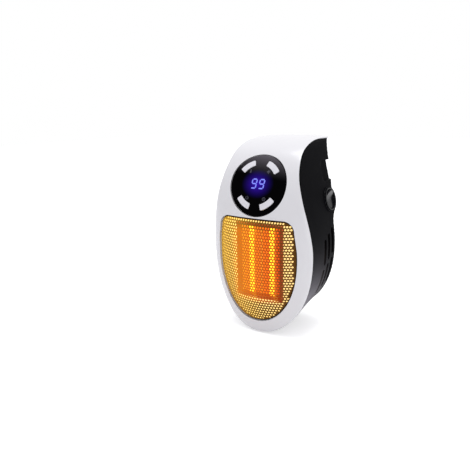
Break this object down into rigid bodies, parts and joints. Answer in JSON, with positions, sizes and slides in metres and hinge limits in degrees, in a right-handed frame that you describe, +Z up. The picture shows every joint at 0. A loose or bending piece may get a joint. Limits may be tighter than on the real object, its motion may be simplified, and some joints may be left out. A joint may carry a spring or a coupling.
{
  "type": "plug-in fan heater",
  "caption": "Compact fan heater that plugs straight into a wall outlet, with a domed front grille, a sloping control panel with a display and keys, a side rocker switch and a turning grounded plug.",
  "frame": {"origin": "centre of the plug disc's rear face, which lies against the outlet", "axes": "+Y the way the pins enter the outlet, +Z up along the heater, +X to the right as seen from the front"},
  "size_m": [0.102, 0.1108, 0.1777],
  "materials": {
    "white_shell": "smooth cool white moulding, satin gloss",
    "black_shell": "dark charcoal moulding, fine texture",
    "grille": "perforated sheet, dark lacquer",
    "gloss_black": "high gloss black",
    "key": "light grey satin",
    "dark_plastic": "plain black moulding",
    "board": "green circuit board",
    "display": "dark blue display face",
    "guide": "cream heat-proof moulding",
    "heater_frame": "dark red heat-proof moulding",
    "fin": "thin fins lit orange-red",
    "heating_bar": "flat bars lit yellow",
    "steel": "zinc-plated steel",
    "brass": "nickel-plated brass",
    "blue_part": "blue relay case",
    "yellow_part": "yellow capacitor case"
  },
  "bodies": {
    "housing": {"front_shell": "white_shell", "rear_shell": "black_shell", "grille": "grille", "control_panel": "gloss_black", "tact_switch_temperature": "dark_plastic", "tact_switch_fan_speed": "dark_plastic", "tact_switch_power": "dark_plastic", "tact_switch_timer": "dark_plastic", "control_board": "board", "display_module": "display", "air_guide": "guide", "heater_frame": "heater_frame", "fin_stack_1": "fin", "heating_bar_left": "heating_bar", "fin_stack_2": "fin", "centre_strip": "heating_bar", "fin_stack_3": "fin", "heating_bar_right": "heating_bar", "fin_stack_4": "fin", "thermal_cutout": "steel", "fan_shroud": "dark_plastic", "fan_motor": "steel", "motor_bracket": "dark_plastic", "rocker_switch_body": "black_shell", "plug_retainer": "dark_plastic", "power_board": "board", "relay": "blue_part", "film_capacitor": "yellow_part", "smoothing_capacitor": "dark_plastic", "buzzer": "dark_plastic", "case_screw_1": "steel", "case_screw_2": "steel", "shroud_screw_1": "steel", "shroud_screw_2": "steel", "shroud_screw_3": "steel", "shroud_screw_4": "steel", "retainer_screw_1": "steel", "retainer_screw_2": "steel", "bracket_screw_1": "steel", "bracket_screw_2": "steel", "power_board_screw_1": "steel", "power_board_screw_2": "steel", "power_board_screw_3": "steel", "power_board_screw_4": "steel", "control_board_screw_1": "steel", "control_board_screw_2": "steel", "control_board_screw_3": "steel", "control_board_screw_4": "steel"},
    "plug": {"plug_disc": "black_shell", "blade_left": "brass", "blade_right": "brass", "ground_pin": "brass"},
    "fan": {"impeller": "dark_plastic", "fan_shaft": "steel"},
    "rocker": {"rocker": "gloss_black"},
    "key_temperature": {"key_temperature": "key"},
    "key_fan_speed": {"key_fan_speed": "key"},
    "key_power": {"key_power": "key"},
    "key_timer": {"key_timer": "key"}
  },
  "joints": [
    {"name": "plug_swivel", "type": "hinge", "parent": "plug", "child": "housing", "pos_m": [0, 0, 0], "axis": [0, 1, 0], "range_deg": [-180, 90]},
    {"name": "fan_spin", "type": "hinge", "parent": "housing", "child": "fan", "pos_m": [0, -0.0445, -0.07985], "axis": [0, 1, 0], "continuous": true},
    {"name": "rocker_tilt", "type": "hinge", "parent": "housing", "child": "rocker", "pos_m": [0.0433, -0.018, -0.0277], "axis": [0, 1, 0], "range_deg": [-22, 0]},
    {"name": "temperature_press", "type": "slide", "parent": "housing", "child": "key_temperature", "axis": [0, 0.9302, -0.367], "range_m": [0, 0.0005], "stiffness_N_per_m": 1500, "springref_m": -0.0002},
    {"name": "fan_speed_press", "type": "slide", "parent": "housing", "child": "key_fan_speed", "axis": [0, 0.9302, -0.367], "range_m": [0, 0.0005], "stiffness_N_per_m": 1500, "springref_m": -0.0002},
    {"name": "power_press", "type": "slide", "parent": "housing", "child": "key_power", "axis": [0, 0.9302, -0.367], "range_m": [0, 0.0005], "stiffness_N_per_m": 1500, "springref_m": -0.0002},
    {"name": "timer_press", "type": "slide", "parent": "housing", "child": "key_timer", "axis": [0, 0.9302, -0.367], "range_m": [0, 0.0005], "stiffness_N_per_m": 1500, "springref_m": -0.0002}
  ]
}
